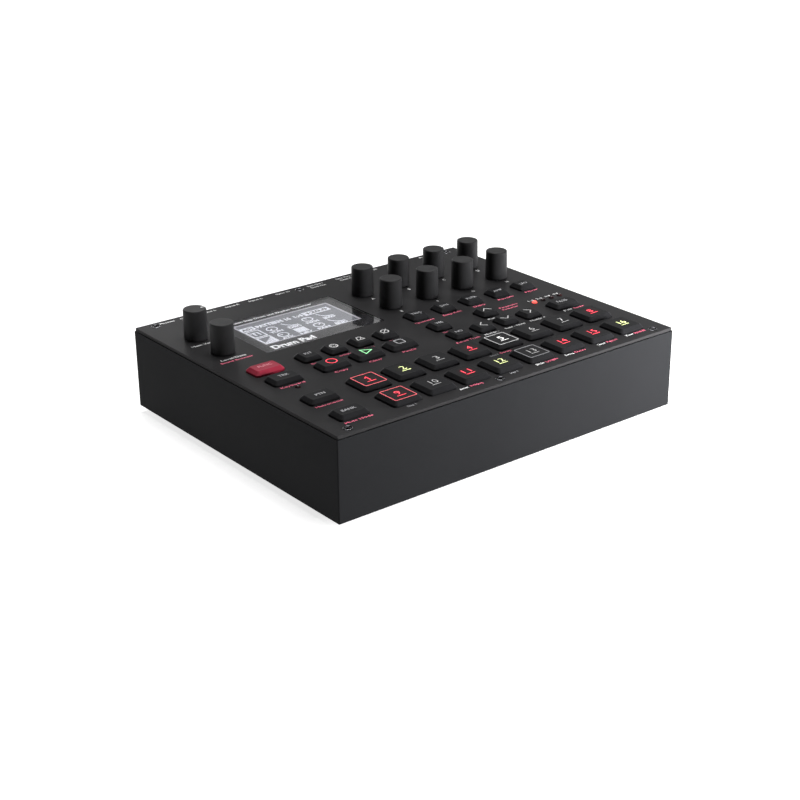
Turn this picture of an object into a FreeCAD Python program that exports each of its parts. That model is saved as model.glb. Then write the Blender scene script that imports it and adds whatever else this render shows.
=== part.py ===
import FreeCAD, Part
import math
import os

# Desk-top drum pad instrument: steel tray, steel panel, sixteen trigger keys,
# twenty-three function keys, ten knobs, a display and a rear row of sockets.
# Units are millimetres.  X runs left to right, Y front to rear, Z up, and the
# feet stand on Z = 0.  Everything is drawn about the centre of the case, then
# moved forward by half of what stands out of the rear wall.

# ---- driving dimensions -------------------------------------------------
CASE_WIDTH = 215.0
CASE_DEPTH = 176.0
CASE_HEIGHT = 43.15          # underside of the tray to the top of the panel
FOOT_HEIGHT = 3.75
WALL = 1.2                   # folded steel sheet
CASE_CORNER = 0.6            # radius of the upright corners
PANEL_THICKNESS = 1.5
PANEL_INSET = 0.5            # the panel is this much smaller on every side
SEAM = 0.3                   # dark line between the panel and the walls
REAR_PROTRUSION = 1.8        # nuts and power button outside the rear wall

PANEL_TOP = FOOT_HEIGHT + CASE_HEIGHT
PANEL_UNDER = PANEL_TOP - PANEL_THICKNESS
FLOOR_TOP = FOOT_HEIGHT + WALL
REAR_OUTER = CASE_DEPTH / 2
REAR_INNER = REAR_OUTER - WALL

# keys
KEY_GAP = 0.3                # between a key and the edge of its panel hole
KEY_TRAVEL = 0.9
KEY_RISE = 2.6               # key top above the panel
KEY_SKIRT = 0.9              # straight part of the key above the panel
KEY_BEVEL = 1.5              # how far the sloping sides lean in
KEY_CORNER = 1.8             # radius of the upright corners
KEY_FLANGE = 0.8
TRIG_SIZE = (16.6, 16.6)
WIDE_SIZE = (16.6, 10.9)
SMALL_SIZE = (10.9, 10.9)
TRIG_PITCH = 20.95
TRIG_FIRST_X = -59.85
TRIG_ROWS = (-48.4, -70.9)
LEFT_X = -88.2
FUNC_ROW = -3.75
TRANSPORT_ROW = -19.45
PARAMETER_ROW = 7.95
YES_ROW = -11.4
NO_ROW = -27.1

# knobs
KNOB_BASE_RADIUS = 6.15
KNOB_TOP_RADIUS = 5.9
KNOB_GAP = 0.45              # under the knob skirt
KNOB_HEIGHT = 16.1           # knob top above the panel
SHAFT_RADIUS = 3.0
SHAFT_CLEARANCE = 0.04       # radial, in the bushing
BUSHING_RADIUS = 3.5
KNOB_ROWS = (54.6, 29.6)
LEFT_KNOB_X = -90.8
KNOB_FIRST_X = 14.7
KNOB_PITCH = 25.0

# display
WINDOW_CENTRE = (-37.6, 39.5)
WINDOW_SIZE = (73.4, 49.2)
SCREEN_CENTRE = (-37.4, 42.4)

# boards
CONTROL_BOARD_TOP = 37.5
SOCKET_BOARD_TOP = 16.8
BOARD_THICKNESS = 1.6

# sockets in the rear wall
JACK_XS = (-94.0, -79.0, -64.0, -49.4, -34.8)
JACK_Z = 24.0
JACK_RADIUS = 3.25
DIN_XS = (-16.0, 4.0, 24.0)
DIN_Z = 25.0
USB_X, USB_Z = 45.0, 22.6
DC_X, DC_Z = 63.0, 23.2
INLET_RING = 1.1             # stiffening ring inside the wall, round the inlet
POWER_X, POWER_Z = 82.0, 24.0
POWER_TRAVEL = 1.4

# fasteners
PANEL_SCREW_XS = (-97.7, -7.3, 97.7)
PANEL_SCREW_Y = 82.8
STUD_POINTS = ((-74.5, -58.6), (101.0, -58.6), (-1.0, -10.0), (102.0, 8.9),
               (-101.5, 8.0), (-101.5, 68.0), (2.5, 76.0), (102.0, 72.0))
STANDOFF_POINTS = ((-99.0, 45.0), (0.0, 45.0), (99.0, 45.0),
                   (-99.0, -28.0), (0.0, -28.0), (99.0, -28.0))
MOUNT_SPACING = 100.0        # four threaded holes under the case
MOUNT_RADIUS = 2.0

PARTS_DIR = "parts"


# ---- small building blocks ----------------------------------------------
def vec(x, y, z):
    return FreeCAD.Vector(x, y, z)


def block(x0, x1, y0, y1, z0, z1):
    return Part.makeBox(x1 - x0, y1 - y0, z1 - z0, vec(x0, y0, z0))


def rod(x, y, z0, z1, radius):
    return Part.makeCylinder(radius, z1 - z0, vec(x, y, z0))


def rear_rod(x, z, y0, y1, radius):
    return Part.makeCylinder(radius, y1 - y0, vec(x, y0, z), vec(0, 1, 0))


def outline(size, corner, z):
    """Closed wire: rectangle of the given size with rounded corners."""
    half_x = size[0] / 2 - corner
    half_y = size[1] / 2 - corner
    edges = []
    ends = []
    for turn, (sx, sy) in enumerate(((1, 1), (-1, 1), (-1, -1), (1, -1))):
        arc = []
        for step in (0, 1, 2):
            angle = math.radians(90 * turn + 45 * step)
            arc.append(vec(sx * half_x + corner * math.cos(angle),
                           sy * half_y + corner * math.sin(angle), z))
        edges.append(Part.Arc(*arc).toShape())
        ends.append((arc[0], arc[2]))
    sides = [Part.makeLine(ends[i][1], ends[(i + 1) % 4][0]) for i in range(4)]
    ring = []
    for arc_edge, side in zip(edges, sides):
        ring += [arc_edge, side]
    return Part.Wire(ring)


def slab(centre, size, corner, z0, z1):
    """Upright prism with rounded vertical corners."""
    face = Part.Face(outline(size, corner, z0))
    prism = face.extrude(vec(0, 0, z1 - z0))
    prism.translate(vec(centre[0], centre[1], 0))
    return prism


def top_edges(shape):
    top = shape.BoundBox.ZMax
    return [e for e in shape.Edges if e.BoundBox.ZMin > top - 1e-4]


def grown(size, margin):
    return (size[0] + 2 * margin, size[1] + 2 * margin)


def save(name, solids):
    """Write one node; several pieces become one compound."""
    shape = solids[0] if len(solids) == 1 else Part.makeCompound(solids)
    shape = shape.copy()
    shape.translate(vec(0, -REAR_PROTRUSION / 2, 0))
    shape.exportStep(PARTS_DIR + "/" + name + ".step")


# ---- where the keys, knobs and lamps are --------------------------------
def key_layout():
    """Every key: name -> (centre, size)."""
    keys = {}
    for number in range(16):
        x = TRIG_FIRST_X + TRIG_PITCH * (number % 8)
        keys["key_trig_%02d" % (number + 1)] = ((x, TRIG_ROWS[number // 8]), TRIG_SIZE)
    left = (("func", FUNC_ROW), ("track", TRANSPORT_ROW),
            ("pattern", TRIG_ROWS[0]), ("bank", TRIG_ROWS[1]))
    for word, y in left:
        keys["key_" + word] = ((LEFT_X, y), WIDE_SIZE)
    for i, word in enumerate(("record", "play", "stop")):
        x = TRIG_FIRST_X + TRIG_PITCH * i
        keys["key_" + word] = ((x, TRANSPORT_ROW), WIDE_SIZE)
    for i in range(4):
        keys["key_setup_%d" % (i + 1)] = ((-63.05 + 16.0 * i, FUNC_ROW), SMALL_SIZE)
    for i in range(5):
        keys["key_page_%d" % (i + 1)] = ((14.25 + 18.9 * i, PARAMETER_ROW), SMALL_SIZE)
    keys["key_yes"] = ((14.1, YES_ROW), SMALL_SIZE)
    keys["key_no"] = ((14.1, NO_ROW), SMALL_SIZE)
    keys["key_left"] = ((30.1, NO_ROW), SMALL_SIZE)
    keys["key_up"] = ((46.1, YES_ROW), SMALL_SIZE)
    keys["key_down"] = ((46.1, NO_ROW), SMALL_SIZE)
    keys["key_right"] = ((62.1, NO_ROW), SMALL_SIZE)
    keys["key_page_step"] = ((86.8, NO_ROW), WIDE_SIZE)
    return keys


def knob_layout():
    """Every knob: name -> centre."""
    knobs = {"knob_main_volume": (LEFT_KNOB_X, KNOB_ROWS[0]),
             "knob_level_data": (LEFT_KNOB_X, KNOB_ROWS[1])}
    for i, letter in enumerate("abcdefgh"):
        x = KNOB_FIRST_X + KNOB_PITCH * (i % 4)
        knobs["knob_" + letter] = (x, KNOB_ROWS[i // 4])
    return knobs


KEYS = key_layout()
KNOBS = knob_layout()
LAMPS = [(78.2 + 6.1 * i, -14.6) for i in range(4)] + [(-87.8, -30.2)]
PANEL_SCREWS = [(x, y) for x in PANEL_SCREW_XS for y in (-PANEL_SCREW_Y, PANEL_SCREW_Y)]


# ---- case ---------------------------------------------------------------
def bottom_case():
    wall_top = PANEL_UNDER - SEAM
    tray = slab((0, 0), (CASE_WIDTH, CASE_DEPTH), CASE_CORNER, FOOT_HEIGHT, wall_top)
    lower = [e for e in tray.Edges if e.BoundBox.ZMax < FOOT_HEIGHT + 1e-4]
    tray = tray.makeFillet(0.3, lower)
    inside = (CASE_WIDTH - 2 * WALL, CASE_DEPTH - 2 * WALL)
    tray = tray.cut(slab((0, 0), inside, 0.3, FLOOR_TOP, PANEL_TOP))

    added = []
    removed = []
    for x, y in PANEL_SCREWS:
        side = 1 if y > 0 else -1
        wall_y = side * (REAR_INNER + WALL / 2)
        tab_y = side * 80.5
        half = 7.4
        left = max(x - half, -CASE_WIDTH / 2 + WALL / 2)
        right = min(x + half, CASE_WIDTH / 2 - WALL / 2)
        added.append(block(left, right, min(tab_y, wall_y), max(tab_y, wall_y),
                           PANEL_UNDER - 2.0, PANEL_UNDER))
        removed.append(rod(x, y, PANEL_UNDER - 3, PANEL_TOP, 1.55))
    for sx in (-1, 1):
        for sy in (-1, 1):
            x = sx * MOUNT_SPACING / 2
            y = sy * MOUNT_SPACING / 2
            added.append(rod(x, y, FLOOR_TOP - 0.2, FLOOR_TOP + 6.0, 4.0))
            removed.append(rod(x, y, 0, FLOOR_TOP + 7.0, MOUNT_RADIUS))
    for x in JACK_XS:
        removed.append(rear_rod(x, JACK_Z, REAR_INNER - 1, REAR_OUTER + 1, 4.8))
    for x in DIN_XS:
        removed.append(rear_rod(x, DIN_Z, REAR_INNER - 1, REAR_OUTER + 1, 7.8))
    removed.append(block(USB_X - 6.2, USB_X + 6.2, REAR_INNER - 1, REAR_OUTER + 1,
                         USB_Z - 6.0, USB_Z + 5.7))
    added.append(rear_rod(DC_X, DC_Z, REAR_INNER - INLET_RING, REAR_OUTER - 0.2, 6.2))
    removed.append(rear_rod(DC_X, DC_Z, REAR_INNER - 2, REAR_OUTER + 1, 4.7))
    removed.append(rear_rod(POWER_X, POWER_Z, REAR_INNER - 1, REAR_OUTER + 1, 4.2))
    return tray.fuse(added).cut(removed).removeSplitter()


def top_panel():
    size = (CASE_WIDTH - 2 * PANEL_INSET, CASE_DEPTH - 2 * PANEL_INSET)
    plate = slab((0, 0), size, CASE_CORNER, PANEL_UNDER, PANEL_TOP)
    plate = plate.makeFillet(0.15, top_edges(plate))

    low = PANEL_UNDER - 1
    high = PANEL_TOP + 1
    removed = []
    for centre, key_size in KEYS.values():
        removed.append(slab(centre, grown(key_size, KEY_GAP), KEY_CORNER + KEY_GAP, low, high))
    for x, y in KNOBS.values():
        removed.append(rod(x, y, low, high, BUSHING_RADIUS + 0.3))
    for x, y in LAMPS:
        removed.append(rod(x, y, low, high, 1.55))
    removed.append(slab(WINDOW_CENTRE, WINDOW_SIZE, 1.0, low, high))
    for x, y in PANEL_SCREWS:
        removed.append(rod(x, y, low, high, 1.6))
        removed.append(Part.makeCone(1.6, 2.8, 1.2, vec(x, y, PANEL_TOP - 1.2)))
    return plate.cut(removed)


def rubber_feet():
    feet = []
    for x in (-92.0, 92.0):
        for y in (-72.0, 72.0):
            foot = Part.makeCone(6.6, 7.4, FOOT_HEIGHT, vec(x, y, 0))
            rim = [e for e in foot.Edges if e.BoundBox.ZMax < 1e-4]
            feet.append(foot.makeFillet(0.6, rim))
    return feet


# ---- display ------------------------------------------------------------
def display_window():
    lens = slab(WINDOW_CENTRE, grown(WINDOW_SIZE, -0.1), 0.9,
                PANEL_UNDER - 0.8, PANEL_TOP - 0.1)
    lens = lens.makeFillet(0.15, top_edges(lens))
    flange = slab(WINDOW_CENTRE, grown(WINDOW_SIZE, 2.0), 2.0,
                  PANEL_UNDER - 0.8, PANEL_UNDER)
    return lens.fuse(flange).removeSplitter()


def display_module():
    glass_top = PANEL_UNDER - 1.0
    glass = slab(SCREEN_CENTRE, (61.5, 37.0), 0.4, glass_top - 2.0, glass_top)
    carrier = slab(SCREEN_CENTRE, (67.0, 44.0), 1.0, glass_top - 3.2, glass_top - 2.0)
    legs = []
    for sx in (-1, 1):
        for sy in (-1, 1):
            legs.append(rod(SCREEN_CENTRE[0] + sx * 30.5, SCREEN_CENTRE[1] + sy * 19.5,
                            CONTROL_BOARD_TOP, glass_top - 3.2, 1.6))
    return [glass, carrier] + legs


# ---- keys ---------------------------------------------------------------
def key_cap(size):
    """One key about the origin, at rest, with its plunger."""
    skirt_top = PANEL_TOP + KEY_SKIRT
    flange_top = PANEL_UNDER - KEY_GAP
    flange_bottom = flange_top - KEY_FLANGE
    crown = Part.makeLoft([outline(size, KEY_CORNER, skirt_top),
                           outline(grown(size, -KEY_BEVEL), 1.2, PANEL_TOP + KEY_RISE)],
                          True, True)
    crown = crown.makeFillet(0.4, top_edges(crown))
    skirt = slab((0, 0), size, KEY_CORNER, flange_bottom, skirt_top)
    flange = slab((0, 0), grown(size, 0.8), KEY_CORNER + 0.8, flange_bottom, flange_top)
    hollow = slab((0, 0), grown(size, -1.5), 0.6, flange_bottom - 1, PANEL_TOP + 0.9)
    plunger = rod(0, 0, key_plunger_end(), PANEL_TOP + 1.2, 2.2)
    return skirt.fuse([crown, flange]).cut(hollow).fuse(plunger).removeSplitter()


def key_plunger_end():
    return CONTROL_BOARD_TOP + 3.0 + KEY_GAP + KEY_TRAVEL


def key_switches():
    """Push switch under each key, its lamp, and the panel lamps."""
    pieces = []
    for (x, y), size in KEYS.values():
        housing = block(x - 3.1, x + 3.1, y - 3.1, y + 3.1,
                        CONTROL_BOARD_TOP, CONTROL_BOARD_TOP + 2.2)
        dome = rod(x, y, CONTROL_BOARD_TOP + 2.2, CONTROL_BOARD_TOP + 3.0, 1.7)
        pieces.append(housing.fuse(dome))
        lamp_y = y + 4.2
        pieces.append(block(x - 0.8, x + 0.8, lamp_y - 0.5, lamp_y + 0.5,
                            CONTROL_BOARD_TOP, CONTROL_BOARD_TOP + 0.7))
    for x, y in LAMPS:
        body = rod(x, y, CONTROL_BOARD_TOP, PANEL_TOP - 0.35, 1.45)
        dome = Part.makeSphere(1.45, vec(x, y, PANEL_TOP - 0.35), vec(0, 0, 1), 0, 90)
        pieces.append(body.fuse(dome).removeSplitter())
    return pieces


# ---- knobs --------------------------------------------------------------
def knob_profile():
    """Outer shape of a knob, turned about the Z axis."""
    low = PANEL_TOP + KNOB_GAP
    high = PANEL_TOP + KNOB_HEIGHT
    points = [vec(0, 0, low), vec(KNOB_BASE_RADIUS - 0.25, 0, low),
              vec(KNOB_BASE_RADIUS, 0, low + 0.25), vec(KNOB_TOP_RADIUS, 0, high),
              vec(0, 0, high), vec(0, 0, low)]
    face = Part.Face(Part.makePolygon(points))
    return face.revolve(vec(0, 0, 0), vec(0, 0, 1), 360)


def knob_shaft():
    low = CONTROL_BOARD_TOP + 1.5
    flat_start = PANEL_TOP + 4.5
    high = PANEL_TOP + 13.0
    shaft = rod(0, 0, low, high, SHAFT_RADIUS)
    flat = block(1.5, 4.0, -4.0, 4.0, flat_start, high + 1)
    return shaft.cut(flat)


def knob(pointer_angle):
    """Knob cap and its flatted shaft; a pointer slot is cut if an angle is given."""
    cap = knob_profile()
    cap = cap.makeFillet(0.55, top_edges(cap))
    shaft = knob_shaft()
    cavity = rod(0, 0, PANEL_TOP, PANEL_TOP + 3.6, 4.7)
    cap = cap.cut(cavity).cut(shaft)
    if pointer_angle is not None:
        high = PANEL_TOP + KNOB_HEIGHT
        slot = block(3.2, 8.0, -0.45, 0.45, high - 0.3, high + 1)
        slot.rotate(vec(0, 0, 0), vec(0, 0, 1), pointer_angle)
        cap = cap.cut(slot)
    return [cap, shaft]


def encoder_bodies():
    """Square body and round bushing that carries each shaft."""
    bodies = []
    for x, y in KNOBS.values():
        body = slab((x, y), (12.4, 13.2), 0.6, CONTROL_BOARD_TOP, CONTROL_BOARD_TOP + 6.2)
        bushing = rod(x, y, CONTROL_BOARD_TOP + 6.0, PANEL_TOP + 2.0, BUSHING_RADIUS)
        bore = rod(x, y, CONTROL_BOARD_TOP + 1.2, PANEL_TOP + 3.0,
                   SHAFT_RADIUS + SHAFT_CLEARANCE)
        bodies.append(body.fuse(bushing).cut(bore).removeSplitter())
    return bodies


# ---- boards -------------------------------------------------------------
def control_board():
    """Board under the panel, with every switch, lamp and encoder on it."""
    board = slab((0, -1), (208.0, 160.0), 1.0,
                 CONTROL_BOARD_TOP - BOARD_THICKNESS, CONTROL_BOARD_TOP)
    holes = [rod(x, y, 30, 40, 1.2) for x, y in STUD_POINTS]
    return [board.cut(holes)] + key_switches() + encoder_bodies()


def socket_board():
    """Board in the tray that carries the sockets, with its larger components."""
    board = slab((0, 26), (208.0, 120.0), 1.0,
                 SOCKET_BOARD_TOP - BOARD_THICKNESS, SOCKET_BOARD_TOP)
    holes = [rod(x, y, 10, 20, 1.6) for x, y in STANDOFF_POINTS]
    link = block(-25, 25, 8, 13, SOCKET_BOARD_TOP, CONTROL_BOARD_TOP - BOARD_THICKNESS)
    processor = block(-60, -38, -10, 12, SOCKET_BOARD_TOP, SOCKET_BOARD_TOP + 1.8)
    memory = block(-30, -20, -14, 2, SOCKET_BOARD_TOP, SOCKET_BOARD_TOP + 1.2)
    converter = block(40, 52, 10, 22, SOCKET_BOARD_TOP, SOCKET_BOARD_TOP + 1.4)
    supply = [rod(x, 30, SOCKET_BOARD_TOP, SOCKET_BOARD_TOP + 9.0, 4.0)
              for x in (56.0, 68.0, 80.0)]
    return [board.cut(holes), link, processor, memory, converter] + supply


# ---- rear sockets -------------------------------------------------------
def jack(x):
    """Quarter-inch jack: moulded body with a threaded nose, and its nut."""
    end = REAR_OUTER + REAR_PROTRUSION
    body = block(x - 7.1, x + 7.1, REAR_INNER - 25.0, REAR_INNER,
                 SOCKET_BOARD_TOP, SOCKET_BOARD_TOP + 14.6)
    nose = rear_rod(x, JACK_Z, REAR_INNER - 0.5, end, 4.6)
    bore = rear_rod(x, JACK_Z, REAR_INNER - 22.0, end + 1, JACK_RADIUS)
    corners = [vec(x + 6.9 * math.cos(math.radians(60 * i)), REAR_OUTER,
                   JACK_Z + 6.9 * math.sin(math.radians(60 * i))) for i in range(7)]
    nut = Part.Face(Part.makePolygon(corners)).extrude(vec(0, 1.6, 0))
    disc = Part.makeCone(7.2, 6.2, 1.6, vec(x, REAR_OUTER, JACK_Z), vec(0, 1, 0))
    nut = nut.common(disc).cut(nose)
    return [body.fuse(nose).cut(bore).removeSplitter(), nut]


def din_socket(x):
    """Round five-pin socket: ring groove round a core with five pin holes."""
    body = block(x - 8.8, x + 8.8, REAR_INNER - 14.0, REAR_INNER,
                 SOCKET_BOARD_TOP, SOCKET_BOARD_TOP + 16.6)
    nose = rear_rod(x, DIN_Z, REAR_INNER - 0.5, REAR_OUTER + 0.3, 7.7)
    ring = rear_rod(x, DIN_Z, REAR_OUTER - 9.0, REAR_OUTER + 1, 6.9)
    core = rear_rod(x, DIN_Z, REAR_OUTER - 10.0, REAR_OUTER - 0.4, 5.2)
    socket = body.fuse(nose).cut(ring).fuse(core)
    holes = []
    for i in range(5):
        angle = math.radians(45 * i)
        holes.append(rear_rod(x + 3.5 * math.cos(angle), DIN_Z + 3.5 * math.sin(angle),
                              REAR_OUTER - 7.0, REAR_OUTER + 1, 0.75))
    return socket.cut(holes).removeSplitter()


def usb_socket():
    shell = block(USB_X - 6.0, USB_X + 6.0, REAR_INNER - 15.0, REAR_OUTER + 0.3,
                  SOCKET_BOARD_TOP, USB_Z + 5.5)
    mouth = block(USB_X - 4.3, USB_X + 4.3, REAR_OUTER - 9.0, REAR_OUTER + 1,
                  USB_Z - 3.95, USB_Z + 3.95)
    upper = [e for e in mouth.Edges
             if abs(e.BoundBox.ZMin - USB_Z - 3.95) < 1e-4 and e.BoundBox.YLength > 5]
    mouth = mouth.makeChamfer(1.4, upper)
    tongue = block(USB_X - 2.8, USB_X + 2.8, REAR_OUTER - 10.0, REAR_OUTER - 4.8,
                   USB_Z - 1.6, USB_Z + 1.6)
    return shell.cut(mouth).fuse(tongue).removeSplitter()


def power_inlet_socket():
    front = REAR_INNER - INLET_RING - 0.1
    body = block(DC_X - 4.7, DC_X + 4.7, REAR_INNER - 13.0, front,
                 SOCKET_BOARD_TOP, DC_Z + 5.6)
    nose = rear_rod(DC_X, DC_Z, front - 0.5, REAR_OUTER + 0.3, 4.5)
    bore = rear_rod(DC_X, DC_Z, REAR_OUTER - 9.5, REAR_OUTER + 1, 3.1)
    pin = rear_rod(DC_X, DC_Z, REAR_OUTER - 10.0, REAR_OUTER - 4.6, 1.0)
    return body.fuse(nose).cut(bore).fuse(pin).removeSplitter()


def power_switch_body():
    body = block(POWER_X - 5.0, POWER_X + 5.0, 64.0, power_seat() - KEY_GAP,
                 SOCKET_BOARD_TOP, POWER_Z + 5.0)
    return body.cut(rear_rod(POWER_X, POWER_Z, 67.0, 88.0, 1.55))


def power_seat():
    """Where the button's shoulder ends when it is pressed home."""
    return REAR_INNER - 5.0 - POWER_TRAVEL


def power_button():
    cap = rear_rod(POWER_X, POWER_Z, REAR_INNER - 5.0, REAR_OUTER + REAR_PROTRUSION, 3.9)
    rim = [e for e in cap.Edges if e.BoundBox.YMin > REAR_OUTER + REAR_PROTRUSION - 1e-4]
    cap = cap.makeFillet(0.4, rim)
    stem = rear_rod(POWER_X, POWER_Z, 69.0, REAR_INNER - 4.9, 1.5)
    return cap.fuse(stem).removeSplitter()


def rear_sockets():
    pieces = []
    for x in JACK_XS:
        pieces += jack(x)
    pieces += [din_socket(x) for x in DIN_XS]
    pieces += [usb_socket(), power_switch_body()]
    return pieces


# ---- fasteners ----------------------------------------------------------
def panel_screw(x, y):
    """Countersunk socket screw, just below the panel face."""
    top = PANEL_TOP - 0.2
    head = Part.makeCone(1.45, 2.55, 1.1, vec(x, y, top - 1.1))
    shank = rod(x, y, PANEL_UNDER - 6.0, top - 1.0, 1.45)
    corners = [vec(x + 1.15 * math.cos(math.radians(60 * i)),
                   y + 1.15 * math.sin(math.radians(60 * i)), top - 1.0) for i in range(7)]
    key_hole = Part.Face(Part.makePolygon(corners)).extrude(vec(0, 0, 2))
    return head.fuse(shank).cut(key_hole).removeSplitter()


def fasteners():
    """Screws, the panel's welded studs and the standoffs of the socket board."""
    pieces = [panel_screw(x, y) for x, y in PANEL_SCREWS]
    board_under = SOCKET_BOARD_TOP - BOARD_THICKNESS
    for x, y in STANDOFF_POINTS:
        hexagon = [vec(x + 3.0 * math.cos(math.radians(60 * i)),
                       y + 3.0 * math.sin(math.radians(60 * i)), FLOOR_TOP)
                   for i in range(7)]
        post = Part.Face(Part.makePolygon(hexagon)).extrude(vec(0, 0, board_under - FLOOR_TOP))
        pieces.append(post.cut(rod(x, y, board_under - 6, board_under + 1, 1.55)))
        head = rod(x, y, SOCKET_BOARD_TOP, SOCKET_BOARD_TOP + 1.9, 2.8)
        shank = rod(x, y, board_under - 4.5, SOCKET_BOARD_TOP + 0.1, 1.45)
        pieces.append(head.fuse(shank))
    control_under = CONTROL_BOARD_TOP - BOARD_THICKNESS
    for x, y in STUD_POINTS:
        head = rod(x, y, control_under - 1.5, control_under, 2.1)
        shank = rod(x, y, control_under - 0.1, CONTROL_BOARD_TOP + 4.0, 1.0)
        pieces.append(head.fuse(shank))
        stud = rod(x, y, CONTROL_BOARD_TOP, PANEL_UNDER, 2.2)
        pieces.append(stud.cut(rod(x, y, CONTROL_BOARD_TOP - 1, CONTROL_BOARD_TOP + 5.5, 1.05)))
    return pieces


# ---- write every node ---------------------------------------------------
os.makedirs(PARTS_DIR, exist_ok=True)

save("bottom_case", [bottom_case()])
save("top_panel", [top_panel()])
save("rubber_feet", rubber_feet())
save("display_window", [display_window()])
save("display_module", display_module())
save("control_board", control_board())
save("socket_board", socket_board())
save("rear_sockets", rear_sockets())
save("power_inlet_socket", [power_inlet_socket()])
save("fasteners", fasteners())
save("power_button", [power_button()])

caps = {size: key_cap(size) for size in (TRIG_SIZE, WIDE_SIZE, SMALL_SIZE)}
for key_name, (key_centre, key_size) in KEYS.items():
    cap_copy = caps[key_size].copy()
    cap_copy.translate(vec(key_centre[0], key_centre[1], 0))
    save(key_name, [cap_copy])

plain_knob = knob(None)
pointer_knob = knob(-5.0)
for knob_name, knob_centre in KNOBS.items():
    pieces = pointer_knob if knob_name == "knob_main_volume" else plain_knob
    moved = [piece.copy() for piece in pieces]
    for piece in moved:
        piece.translate(vec(knob_centre[0], knob_centre[1], 0))
    save(knob_name, moved)
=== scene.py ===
import math

import bmesh
import bpy
from mathutils import Matrix, Vector

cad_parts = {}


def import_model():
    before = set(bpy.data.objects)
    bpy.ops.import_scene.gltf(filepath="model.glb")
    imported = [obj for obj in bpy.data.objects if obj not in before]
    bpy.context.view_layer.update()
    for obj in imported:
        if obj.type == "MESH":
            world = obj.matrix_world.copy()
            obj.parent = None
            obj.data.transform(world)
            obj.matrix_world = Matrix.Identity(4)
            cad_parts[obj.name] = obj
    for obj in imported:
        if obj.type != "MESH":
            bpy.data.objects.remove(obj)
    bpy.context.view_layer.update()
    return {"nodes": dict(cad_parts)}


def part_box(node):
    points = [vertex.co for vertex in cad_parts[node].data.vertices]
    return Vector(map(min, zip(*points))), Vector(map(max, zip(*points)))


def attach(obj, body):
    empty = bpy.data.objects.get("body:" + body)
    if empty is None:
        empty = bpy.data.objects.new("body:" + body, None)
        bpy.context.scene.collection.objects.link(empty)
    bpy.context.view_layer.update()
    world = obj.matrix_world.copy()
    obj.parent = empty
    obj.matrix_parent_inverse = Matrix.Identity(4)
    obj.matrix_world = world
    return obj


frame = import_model()
NODES = frame["nodes"]
MM = 0.001
CASE = "case"


def node_box(node):
    """Lowest and highest corner of a CAD node in millimetres."""
    low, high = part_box(node)
    return low / MM, high / MM


def top_centre(node):
    """Middle of the top of a CAD node in millimetres."""
    low, high = node_box(node)
    return (low.x + high.x) / 2, (low.y + high.y) / 2, high.z


case_low, case_high = node_box("bottom_case")
MID_X = (case_low.x + case_high.x) / 2
MID_Y = (case_low.y + case_high.y) / 2
PANEL_Z = node_box("top_panel")[1].z
REAR_Y = case_high.y


# ---- node materials -----------------------------------------------------
# lengths in millimetres
SCREEN_GLOW_AND_REFLECTION = 3.6
DOT_PITCH = 0.44
ACRYLIC_IOR = 1.49
WINDOW_EDGE = 0.5
KEY_GLOW_REACH = 5.5
LED_BOTTOM = 37.6
KEY_COLOUR = (0.0090, 0.0090, 0.0097)
KEY_SPECULAR = 0.04


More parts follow.
